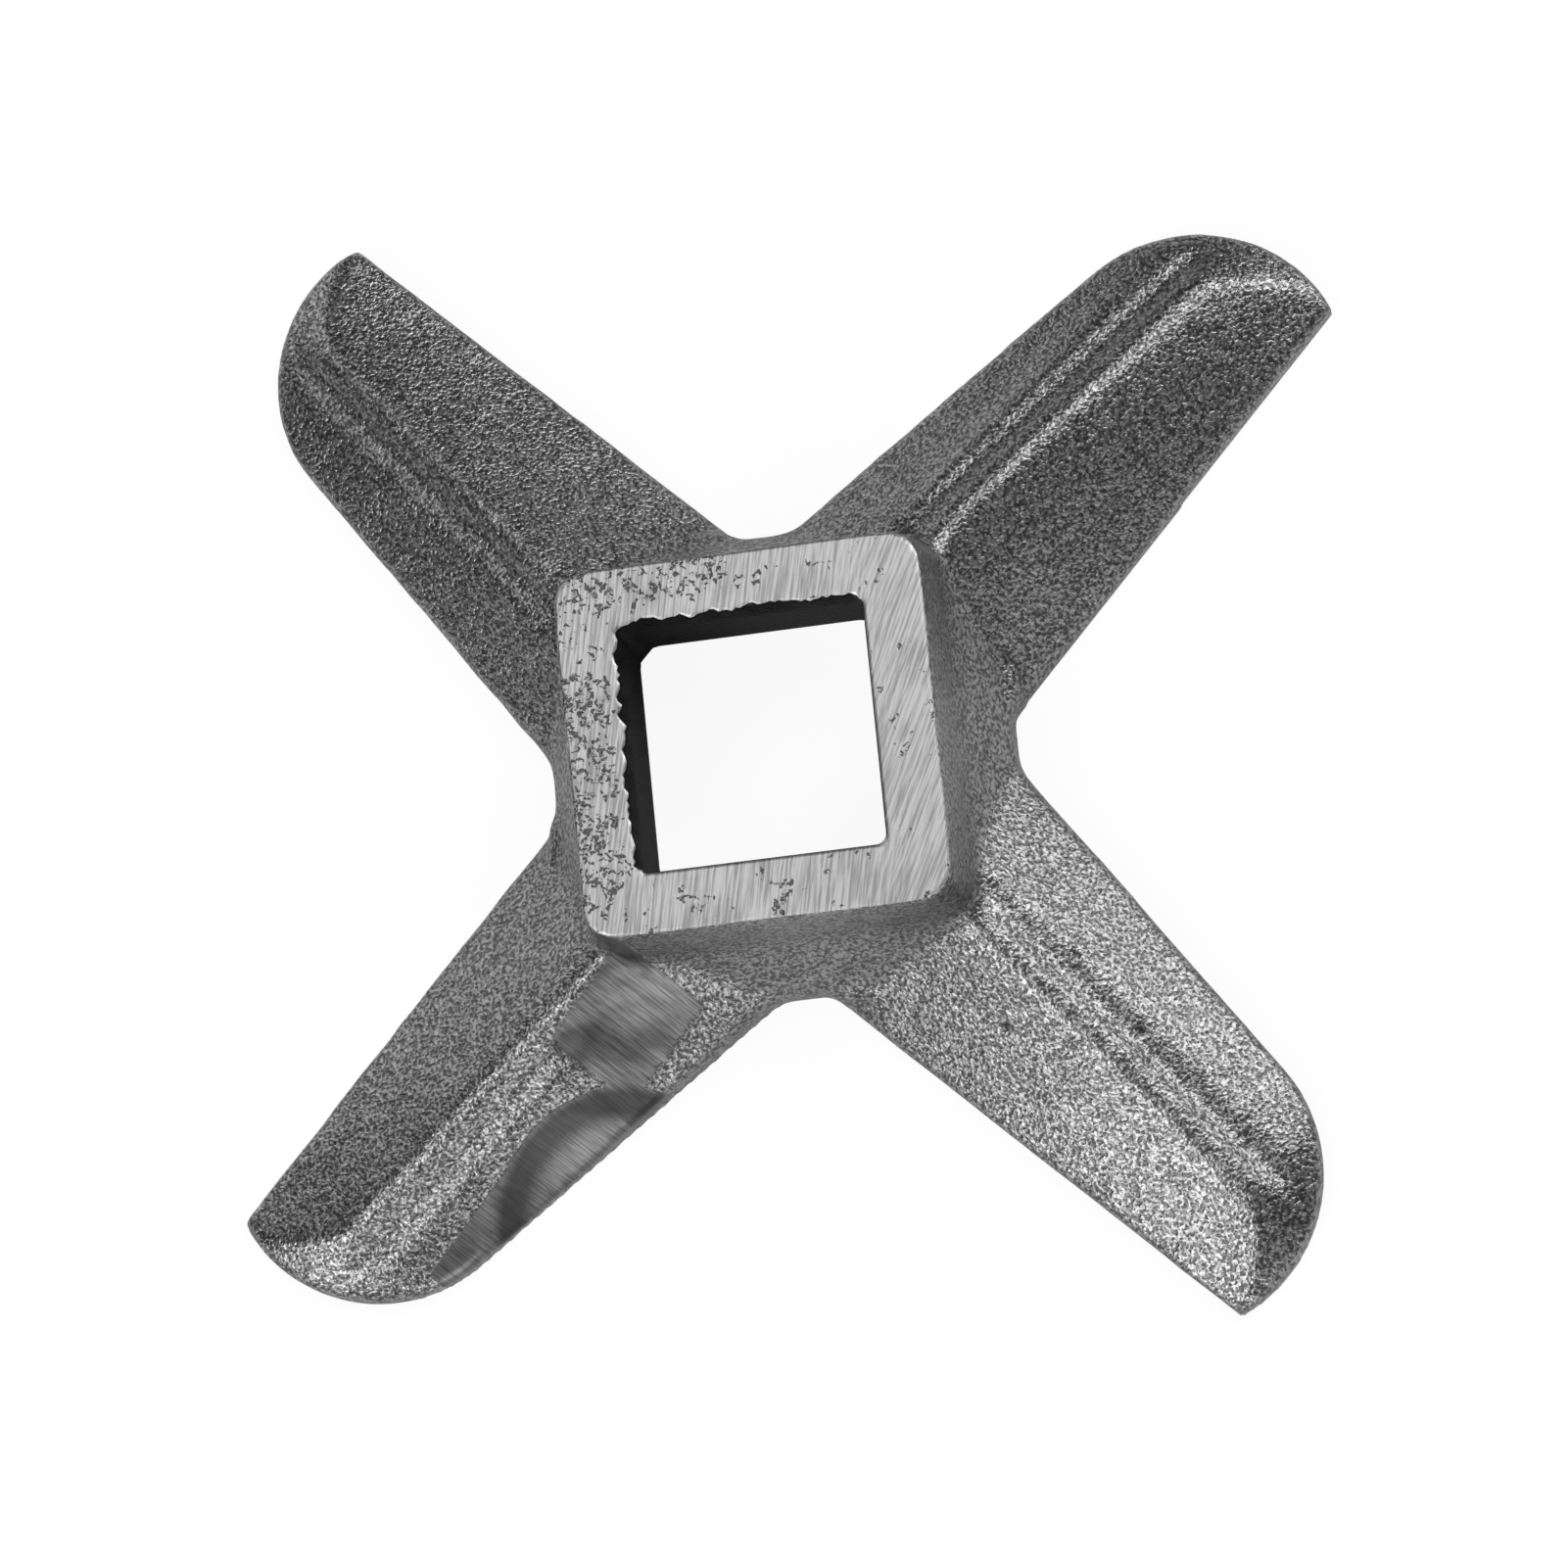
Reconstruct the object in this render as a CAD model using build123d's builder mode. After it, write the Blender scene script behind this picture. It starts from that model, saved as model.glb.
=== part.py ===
"""Meat grinder knife: a four-armed cross knife cast in one piece.

The knife lies on the cutting side of its arms, with the hub face up. The origin is on the axis of the
drive hole, in the plane of the cutting edges. The hub's sides are square to X and Y, and the arms lie
on the diagonals. Each arm is drawn along +X first: its cutting edge is on -Y and its back is on +Y.
"""
import os
from math import atan2, cos, degrees, radians, sin, sqrt, tan

from build123d import *

# Hub. A share is a part of the hub's width
hub_height = 12.0
hub_width = 19.5
hub_corner_radius = 1.7
hub_draft = 5.0
hub_rim_chamfer = 0.2
flare_height = 6.4
flare_radius = 5.0
web_share = 1.282
web_height = 2.4
web_corner_radius = 4.0

# Drive hole, and the recess under the hub
drive_square = 13.0
drive_corner_radius = 0.4
recess_diameter = 20.0
recess_depth = 5.6
recess_floor_chamfer = 1.5

# Outline of the arms, seen from above
tip_radius = 38.15
arm_count = 4
cutting_edge_share = 0.4154
cutting_edge_angle = 0.7
root_back_share = 0.3588
end_back_offset = 3.87
end_reach = 7.15
gap_radius_back = 3.0
gap_radius_cutting = 1.3

# Section of an arm at two stations along it: at the hub's corner, and where the arm's round end starts
root_crest_height = 7.4
end_crest_height = 4.2
root_crest_offset = 0.1
end_crest_offset = -1.6
step_width = 1.1
root_step_height = 1.5
end_step_height = 1.3
groove_width = 1.0
groove_depth = 0.15
root_back_height = 2.2
end_back_height = 1.35
root_land_height = 1.0
end_land_height = 1.25
crest_radius = 1.2
foot_radius = 0.8

# Bevel round the end of an arm, and the rounding of its back and its end
bevel_edge_height = 1.45
bevel_angle = 30.0
rim_radius = 0.6

# Where the casting's gate was ground off one arm
gate_arm = 2
gate_reach = 3.8
gate_depth = 0.35
gate_inset = 2.1
scoop_from_hub = 10.5
scoop_reach = 3.2
scoop_depth = 0.7
scoop_radius = 26.0

# Margins by which cutting shapes run past the metal
overrun = 0.6
clear = 10.0

web_width = web_share * hub_width
root_station = hub_width / sqrt(2)
end_station = tip_radius - end_reach
middle_station = (root_station + end_station) / 2
cutting_edge_offset = cutting_edge_share * hub_width
root_back_offset = root_back_share * hub_width
arm_step = 360 / arm_count
first_arm_angle = arm_step / 2
inner_station = root_station / 2
outer_station = tip_radius + overrun
cutting_slope = radians(cutting_edge_angle)
back_slope = atan2(root_back_offset - end_back_offset, end_station - root_station)


def along_arm(x, root_value, end_value):
    """Value at a station, on the straight line through its values at the root and the end."""
    return root_value + (end_value - root_value) * (x - root_station) / (end_station - root_station)


def cutting_line(x):
    """Where the cutting edge lies across the arm at a station."""
    return (x * sin(cutting_slope) - cutting_edge_offset) / cos(cutting_slope)


def back_line(x):
    """Where the back of the arm lies at a station."""
    return along_arm(x, root_back_offset, end_back_offset)


def land_point(x):
    """Top of the cutting land at a station."""
    return Vector(x, cutting_line(x), along_arm(x, root_land_height, end_land_height))


def crest_point(x):
    """Crest of the arm at a station, before it is rounded."""
    offset = along_arm(x, root_crest_offset, end_crest_offset)
    return Vector(x, offset, along_arm(x, root_crest_height, end_crest_height))


def foot_point(x):
    """Foot of the step behind the crest at a station."""
    return crest_point(x) + Vector(0, step_width, -along_arm(x, root_step_height, end_step_height))


def brow_point(x):
    """Outer edge of the shallow groove along the foot at a station."""
    return foot_point(x) + Vector(0, groove_width, groove_depth)


def back_point(x):
    """Top of the arm's back at a station."""
    return Vector(x, back_line(x), along_arm(x, root_back_height, end_back_height))


def strip_point(x, inset):
    """Point of the trailing strip at a station, at a distance from the back as seen from above."""
    across = back_point(x) - brow_point(x)
    return back_point(x) - across * (inset / across.Y)


def arm_section(x):
    """Section of an arm before its edges are rounded, at a station, drawn past both its sides."""
    past_land = land_point(x) + (land_point(x) - crest_point(x)).normalized() * overrun
    past_back = back_point(x) + (back_point(x) - brow_point(x)).normalized() * overrun
    with BuildSketch(Plane(origin=(x, 0, 0), x_dir=(0, 1, 0), z_dir=(1, 0, 0))) as section:
        with BuildLine():
            Polyline(
                (past_land.Y, 0),
                (past_land.Y, past_land.Z),
                (crest_point(x).Y, crest_point(x).Z),
                (foot_point(x).Y, foot_point(x).Z),
                (brow_point(x).Y, brow_point(x).Z),
                (past_back.Y, past_back.Z),
                (past_back.Y, 0),
                close=True,
            )
        make_face()
    return section.sketch


def is_long(edge):
    """Whether an edge runs along the whole straight body of an arm."""
    return edge.length > end_station - root_station


def is_rounded_rim(edge):
    """Whether an edge runs along the top of an arm's back or end, clear of the sharp tip."""
    heights = [v.Z for v in edge.vertices()]
    from_tip = [sqrt((v.X - tip.X) ** 2 + (v.Y - tip.Y) ** 2) for v in edge.vertices()]
    return min(heights) > bevel_edge_height / 2 and min(from_tip) > rim_radius / 2


def is_behind_arm(corner):
    """Whether a corner of a gap lies on the back of an arm, and not on its cutting side."""
    step = radians(arm_step)
    return atan2(corner.Y, corner.X) % step > step / 2


# Outline of one arm: straight cutting edge, sharp tip, round end, straight back
tip_along = sqrt(tip_radius**2 - cutting_edge_offset**2)
tip = Vector(
    tip_along * cos(cutting_slope) + cutting_edge_offset * sin(cutting_slope),
    tip_along * sin(cutting_slope) - cutting_edge_offset * cos(cutting_slope),
)
arc_start = Vector(end_station, back_line(end_station))
with BuildSketch() as arm_outline:
    with BuildLine():
        Line((0, cutting_line(0)), (0, back_line(0)))
        Line((0, back_line(0)), arc_start)
        end_arc = TangentArc(arc_start, tip, tangent=(cos(back_slope), -sin(back_slope)))
        Line(tip, (0, cutting_line(0)))
    make_face()
end_centre = end_arc.arc_center

# What is cut off round the end of an arm: all that stands above a cone about the round end's centre
with BuildPart() as bevel_waste:
    with Locations(Location((end_centre.X, end_centre.Y, 0), (0, 0, -degrees(back_slope)))):
        Box(2 * clear, 4 * clear, 2 * hub_height, align=(Align.MIN, Align.CENTER, Align.CENTER))
    cone_run = end_arc.radius + 2 * clear
    with BuildSketch(Plane(origin=(end_centre.X, end_centre.Y, 0), x_dir=(1, 0, 0), z_dir=(0, -1, 0))):
        with BuildLine():
            Polyline(
                (0, -2 * hub_height),
                (0, bevel_edge_height + end_arc.radius * tan(radians(bevel_angle))),
                (cone_run, bevel_edge_height - (cone_run - end_arc.radius) * tan(radians(bevel_angle))),
                (cone_run, -2 * hub_height),
                close=True,
            )
        make_face()
    revolve(axis=Axis((end_centre.X, end_centre.Y, 0), (0, 0, 1)), mode=Mode.SUBTRACT)

# One arm: a ruled body between its root and end sections, bevelled round its end, with a rounded
# crest, a rounded foot behind it, and a rounded rim along its back and round its end
root_section = arm_section(inner_station)
end_section = arm_section(outer_station)
with BuildPart() as arm:
    add(root_section)
    add(end_section)
    loft(ruled=True)
    add(bevel_waste.part, mode=Mode.SUBTRACT)
    crest_edge = arm.edges().filter_by(is_long).sort_by_distance(crest_point(middle_station))[0]
    crest_ends = crest_edge.vertices()
    bevel_face = arm.faces().filter_by(GeomType.CONE).sort_by(SortBy.AREA)[-1]
    bevel_edges = bevel_face.edges().filter_by(lambda e: any(v in crest_ends for v in e.vertices()))
    fillet(bevel_edges + [crest_edge], crest_radius)
    foot_edge = arm.edges().filter_by(is_long).sort_by_distance(foot_point(middle_station))[0]
    brow_edge = arm.edges().filter_by(is_long).sort_by_distance(brow_point(middle_station))[0]
    fillet([foot_edge, brow_edge], foot_radius)
    with BuildSketch():
        add(arm_outline.sketch)
    extrude(amount=hub_height, mode=Mode.INTERSECT)
    back_wall = arm.faces().filter_by(GeomType.PLANE).sort_by_distance(back_point(middle_station))[0]
    end_wall = arm.faces().filter_by(GeomType.CYLINDER).sort_by(SortBy.AREA)[-1]
    rim_edges = back_wall.edges().filter_by(is_rounded_rim).filter_by(is_long)
    fillet(rim_edges + end_wall.edges().filter_by(is_rounded_rim), rim_radius)

# Hub: a square boss with draft, flaring into the web between the arms
flare_width = hub_width + 2 * (hub_height - flare_height) * tan(radians(hub_draft))
with BuildPart() as hub:
    with BuildSketch(Plane.XY.offset(hub_height)):
        RectangleRounded(hub_width, hub_width, hub_corner_radius)
    with BuildSketch(Plane.XY.offset(flare_height)) as flare_section:
        RectangleRounded(flare_width, flare_width, hub_corner_radius)
    loft(ruled=True)
    add(flare_section.sketch)
    with BuildSketch(Plane.XY.offset(web_height)):
        RectangleRounded(web_width, web_width, web_corner_radius)
    loft(ruled=True)
    with BuildSketch():
        Rectangle(web_width + 2 * overrun, web_width + 2 * overrun)
    extrude(amount=web_height)
    flare_edges = hub.edges().group_by(lambda e: round(abs((e @ 0.5).Z - flare_height), 3))[0]
    fillet(flare_edges, flare_radius)
    chamfer(hub.faces().sort_by(Axis.Z)[-1].edges(), hub_rim_chamfer)

# Outline of the whole knife: the arms about the square web, with rounded corners in each gap
with BuildSketch() as outline:
    with PolarLocations(0, arm_count, start_angle=first_arm_angle):
        add(arm_outline.sketch)
    Rectangle(web_width, web_width)
    gap_corners = outline.vertices().sort_by_distance((0, 0, 0))[: 2 * arm_count]
    cutting_corners = [v.center() for v in gap_corners if not is_behind_arm(v)]
    fillet(gap_corners.filter_by(is_behind_arm), gap_radius_back)
    for corner in cutting_corners:
        fillet(outline.vertices().sort_by_distance(corner)[0], gap_radius_cutting)

# Gate: the stub that stands between the crest and the strip, and what was ground off above it
gate_start = root_station - overrun
gate_end = root_station + gate_reach
gate_corners = [
    crest_point(gate_start) - Vector(0, 0, gate_depth),
    crest_point(gate_end) - Vector(0, 0, gate_depth),
    strip_point(gate_end, gate_inset),
    strip_point(gate_start, gate_inset),
]
gate_along = gate_corners[1] - gate_corners[0]
gate_across = gate_corners[3] - gate_corners[0]
gate_plane = Plane(origin=gate_corners[0], x_dir=gate_along, z_dir=gate_along.cross(gate_across))
flat_corners = [gate_plane.to_local_coords(corner) for corner in gate_corners]
with BuildSketch(gate_plane) as gate_face:
    with BuildLine():
        Polyline([(corner.X, corner.Y) for corner in flat_corners], close=True)
    make_face()
with BuildPart() as gate_stub:
    add(gate_face.sketch)
    extrude(amount=-root_back_height)
with BuildPart() as gate_waste:
    add(gate_face.sketch)
    extrude(amount=root_step_height)

# Hollow that the grinding wheel left in the strip beyond the gate
scoop_station = root_station + scoop_from_hub
scoop_inner = strip_point(scoop_station, scoop_reach)
scoop_outer = back_point(scoop_station) - Vector(0, 0, scoop_depth)
strip_along = strip_point(end_station, scoop_reach) - strip_point(root_station, scoop_reach)
with BuildPart() as scoop_waste:
    with BuildSketch(Plane(origin=scoop_inner, x_dir=strip_along, z_dir=scoop_inner - scoop_outer)):
        with Locations((0, scoop_radius)):
            Circle(scoop_radius)
    extrude(amount=clear, both=True)

# Recess under the hub, with a cone between its wall and its floor
with BuildPart() as recess_waste:
    Cylinder(recess_diameter / 2, recess_depth, align=(Align.CENTER, Align.CENTER, Align.MIN))
    chamfer(recess_waste.edges().sort_by(Axis.Z)[-1], recess_floor_chamfer)

# The knife: the arms and the hub as one casting, then its ground gate, drive hole and recess
with BuildPart() as knife:
    with PolarLocations(0, arm_count, start_angle=first_arm_angle):
        add(arm.part)
    add(hub.part)
    with BuildSketch():
        add(outline.sketch)
    extrude(amount=hub_height, mode=Mode.INTERSECT)
    with Locations(Rotation(0, 0, first_arm_angle + gate_arm * arm_step)):
        add(gate_stub.part)
        add(gate_waste.part, mode=Mode.SUBTRACT)
        add(scoop_waste.part, mode=Mode.SUBTRACT)
    with BuildSketch(Plane.XY.offset(hub_height)):
        RectangleRounded(drive_square, drive_square, drive_corner_radius)
    extrude(amount=-hub_height, mode=Mode.SUBTRACT)
    add(recess_waste.part, mode=Mode.SUBTRACT)

os.makedirs("parts", exist_ok=True)
knife.part.label = "grinder_knife"
export_step(knife.part, "parts/grinder_knife.step")
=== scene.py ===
"""Looks of the meat grinder knife: a rough iron casting with a few ground faces, on a pale floor.

The solid from the frame is copied, given the soft corners, waves and chipped edges of the casting, and
ground flat again where the real knife is ground. One material then dresses cast skin, ground faces and
the walls of the drive hole.
"""
import logging
import math
import sys
from dataclasses import dataclass, field
from enum import Enum

import bmesh
import bpy
import numpy as np
from mathutils import Matrix, Vector, noise


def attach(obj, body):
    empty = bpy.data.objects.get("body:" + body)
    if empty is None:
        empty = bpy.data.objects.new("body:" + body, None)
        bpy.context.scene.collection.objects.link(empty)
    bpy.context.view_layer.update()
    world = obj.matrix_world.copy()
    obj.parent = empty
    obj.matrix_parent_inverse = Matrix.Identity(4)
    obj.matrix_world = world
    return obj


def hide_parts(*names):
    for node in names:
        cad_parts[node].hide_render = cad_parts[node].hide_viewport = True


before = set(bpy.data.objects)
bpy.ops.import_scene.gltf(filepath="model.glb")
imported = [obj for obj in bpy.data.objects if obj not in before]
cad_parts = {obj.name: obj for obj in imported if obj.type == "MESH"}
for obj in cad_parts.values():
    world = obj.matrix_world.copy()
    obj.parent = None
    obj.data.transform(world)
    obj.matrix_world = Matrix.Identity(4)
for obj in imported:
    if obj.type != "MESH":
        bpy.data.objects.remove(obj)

LOG = logging.getLogger("grinder_knife")
MM = 0.001
PHOTO_PIXELS = 1601
FLOOR_DROP = 0.00002

Pair = tuple[float, float]
Colour = tuple[float, float, float, float]


class Mark(Enum):
    """Names of the numbers that the mesh carries for its material."""

    CAST = "cast"
    GATE = "gate"
    # Band of painted shade across the ground hollow.
    HOLLOW_SHADE = "hollow"
    # Painted shade inside the blow holes.
    PIT_SHADE = "pit_shade"
    # Steep faces: smoother skin, and a flatter tone that is painted lack of glints.
    PLAIN = "plain"


class Signal:
    """A value in a shader or geometry tree. Arithmetic on it adds Math nodes to the tree."""

    def __init__(self, graph: "Graph", socket: bpy.types.NodeSocket) -> None:
        """Wraps an output socket of the graph."""
        self.graph = graph
        self.socket = socket

    def _math(self, operation: str, *values: "float | Signal") -> "Signal":
        """Adds one Math node.

        Args:
            operation: Name of the node's operation.
            *values: Numbers or signals for its inputs, in order.

        Returns:
            The node's result.
        """
        return self.graph.node("ShaderNodeMath", {"operation": operation}, dict(enumerate(values))).out()

    def __add__(self, other: "float | Signal") -> "Signal":
        """Sum."""
        return self._math("ADD", self, other)

    def __radd__(self, other: float) -> "Signal":
        """Sum with a number on the left."""
        return self._math("ADD", other, self)

    def __sub__(self, other: "float | Signal") -> "Signal":
        """Difference."""
        return self._math("SUBTRACT", self, other)

    def __rsub__(self, other: float) -> "Signal":
        """Difference with a number on the left."""
        return self._math("SUBTRACT", other, self)

    def __mul__(self, other: "float | Signal") -> "Signal":
        """Product."""
        return self._math("MULTIPLY", self, other)

    def __rmul__(self, other: float) -> "Signal":
        """Product with a number on the left."""
        return self._math("MULTIPLY", other, self)

    def __truediv__(self, other: "float | Signal") -> "Signal":
        """Quotient."""
        return self._math("DIVIDE", self, other)

    def __rtruediv__(self, other: float) -> "Signal":
        """Quotient with a number on the left."""
        return self._math("DIVIDE", other, self)

    def __abs__(self) -> "Signal":
        """Absolute value."""
        return self._math("ABSOLUTE", self)

    def least(self, other: "float | Signal") -> "Signal":
        """The smaller of two values."""
        return self._math("MINIMUM", self, other)

    def most(self, other: "float | Signal") -> "Signal":
        """The larger of two values."""
        return self._math("MAXIMUM", self, other)

    def step(self, low: float, high: float) -> "Signal":
        """A smooth step from 0 at low to 1 at high; low may be the larger.

        Args:
            low: Value at which the step is 0.
            high: Value at which the step is 1.

        Returns:
            The step, from 0 to 1.
        """
        settings = {"interpolation_type": "SMOOTHSTEP"}
        if low <= high:
            values = {0: self, 1: low, 2: high, 3: 0.0, 4: 1.0}
        else:
            values = {0: self, 1: high, 2: low, 3: 1.0, 4: 0.0}
        return self.graph.node("ShaderNodeMapRange", settings, values).out()

    def blend(self, first: "float | Signal", second: "float | Signal") -> "Signal":
        """Mixes two values by this one.

        Args:
            first: Result where this signal is 0.
            second: Result where this signal is 1.

        Returns:
            The mixed value.
        """
        return self.graph.node("ShaderNodeMix", {"data_type": "FLOAT"}, {0: self, 2: first, 3: second}).out(0)


class GraphNode:
    """A node that was added to a graph."""

    def __init__(self, graph: "Graph", node: bpy.types.Node) -> None:
        """Wraps a node of the graph."""
        self.graph = graph
        self.raw = node

    def out(self, key: "int | str" = 0) -> Signal:
        """The node's output with that index or name."""
        return Signal(self.graph, self.raw.outputs[key])


class Graph:
    """A node tree under construction."""

    def __init__(self, tree: bpy.types.NodeTree) -> None:
        """Empties the tree and starts on it."""
        self.tree = tree
        tree.nodes.clear()

    def node(self, kind: str, settings: "dict | None" = None, inputs: "dict | None" = None) -> GraphNode:
        """Adds a node of any type.

        Args:
            kind: The node's type.
            settings: Properties to set before its inputs.
            inputs: Numbers, colours, vectors or signals, by input index or name.

        Returns:
            The new node.
        """
        node = self.tree.nodes.new(kind)
        for name, value in (settings or {}).items():
            setattr(node, name, value)
        for key, value in (inputs or {}).items():
            if isinstance(value, Signal):
                self.tree.links.new(value.socket, node.inputs[key])
            else:
                node.inputs[key].default_value = value
        return GraphNode(self, node)

    def vector(self, operation: str, *values: "Signal | tuple") -> Signal:
        """Adds one Vector Math node.

        Args:
            operation: Name of the node's operation.
            *values: Vectors or signals for its inputs, in order.

        Returns:
            The resulting vector, or the value of an operation that gives one.
        """
        node = self.node("ShaderNodeVectorMath", {"operation": operation}, dict(enumerate(values)))
        return node.out("Value" if operation in ("DOT_PRODUCT", "LENGTH", "DISTANCE") else "Vector")

    def mix_colour(
        self, factor: "float | Signal", first: "tuple | Signal", second: "tuple | Signal"
    ) -> Signal:
        """Mixes two colours.

        Args:
            factor: 0 for the first colour, 1 for the second.
            first: First colour.
            second: Second colour.

        Returns:
            The mixed colour.
        """
        node = self.node("ShaderNodeMix", {"data_type": "RGBA"}, {0: factor, 6: first, 7: second})
        return node.out(2)


@dataclass(frozen=True)
class ArmFrame:
    """Directions of one arm: along it, and across it towards its back."""

    angle: float

    @property
    def along(self) -> np.ndarray:
        """Unit vector from the axis out along the arm."""
        turn = math.radians(self.angle)
        return np.array([math.cos(turn), math.sin(turn), 0.0])

    @property
    def across(self) -> np.ndarray:
        """Unit vector towards the arm's back."""
        turn = math.radians(self.angle)
        return np.array([-math.sin(turn), math.cos(turn), 0.0])

    def local(self, points: np.ndarray) -> "tuple[np.ndarray, np.ndarray]":
        """Places of points along and across the arm, in the points' own unit."""
        return points @ self.along, points @ self.across


@dataclass(frozen=True)
class KnifeSizes:
    """Sizes of the knife that its looks follow, in millimetres."""

    hub_height: float = 12.0
    hub_half: float = 9.75
    hole_half: float = 6.5
    bore_floor: float = 5.6
    recess_radius: float = 10.0
    gate_arm: ArmFrame = ArmFrame(225.0)
    hub_fade: Pair = (0.10, 0.04)
    cutting_fade: Pair = (0.06, 0.02)


@dataclass(frozen=True)
class CastSkin:
    """Rough skin of the casting."""

    colour: Colour = (0.28, 0.28, 0.28, 1.0)
    dark_colour: Colour = (0.07, 0.07, 0.07, 1.0)
    # Painted lack of glints: steep faces, which turn away from the lamps, get a flatter, even tone.
    steep_glintless_colour: Colour = (0.17, 0.17, 0.17, 1.0)
    # Painted shade: the blow holes are darkened near black, as shade would darken them.
    pit_shade_colour: Colour = (0.012, 0.012, 0.012, 1.0)
    roughness: float = 0.34
    grain_mm: float = 0.21
    grain_depth_mm: float = 0.075
    tone_range: Pair = (0.36, 0.66)
    # Share of that painted flat tone on the steepest faces.
    steep_glintless_share: float = 0.12
    steep_smoothing: float = 0.1
    steep_roughness: float = 0.14


@dataclass(frozen=True)
class GroundFace:
    """Face ground bright, with the wheel's scratches."""

    colour: Colour = (0.40, 0.40, 0.40, 1.0)
    dark_colour: Colour = (0.22, 0.22, 0.22, 1.0)
    # Painted shade: the sand holes are darkened, as shade would darken them.
    pit_shade_colour: Colour = (0.08, 0.08, 0.08, 1.0)
    roughness: float = 0.38
    scratch_angle: float = 64.0
    scratch_bend: float = 14.0
    scratch_mm: float = 0.13
    scratch_depth_mm: float = 0.02
    pit_mm: float = 0.31
    pit_depth_mm: float = 0.08
    pit_range: Pair = (0.50, 0.26)
    chain_range: Pair = (0.62, 0.67)
    chain_share: float = 0.23
    tone_range: Pair = (0.36, 0.62)
    patch_tone: float = 0.06
    scratch_roughness: float = 0.08
    bend_places: Pair = (4.0, 9.0)


@dataclass(frozen=True)
class GateFinish:
    """Dull ground patch where the casting's gate was taken off."""

    colour: Colour = (0.155, 0.155, 0.155, 1.0)
    dark_colour: Colour = (0.08, 0.08, 0.08, 1.0)
    # Painted shade: a near-black band across the ground hollow, where its curved face turns away from the
    # lamps.
    hollow_shade_colour: Colour = (0.03, 0.03, 0.03, 1.0)
    roughness: float = 0.40
    scratch_mm: float = 0.10
    scratch_depth_mm: float = 0.012
    tone_range: Pair = (0.35, 0.65)
    edge_range: Pair = (0.40, 0.60)
    edge_grain: float = 0.6
    hollow_shade_tone: float = 0.85


@dataclass(frozen=True)
class BoreWall:
    """Near-black wall of the drive hole."""

    colour: Colour = (0.018, 0.018, 0.018, 1.0)
    roughness: float = 0.6
    side_fade: Pair = (0.45, 0.30)
    low_fade: Pair = (1.0, 1.4)


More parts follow.
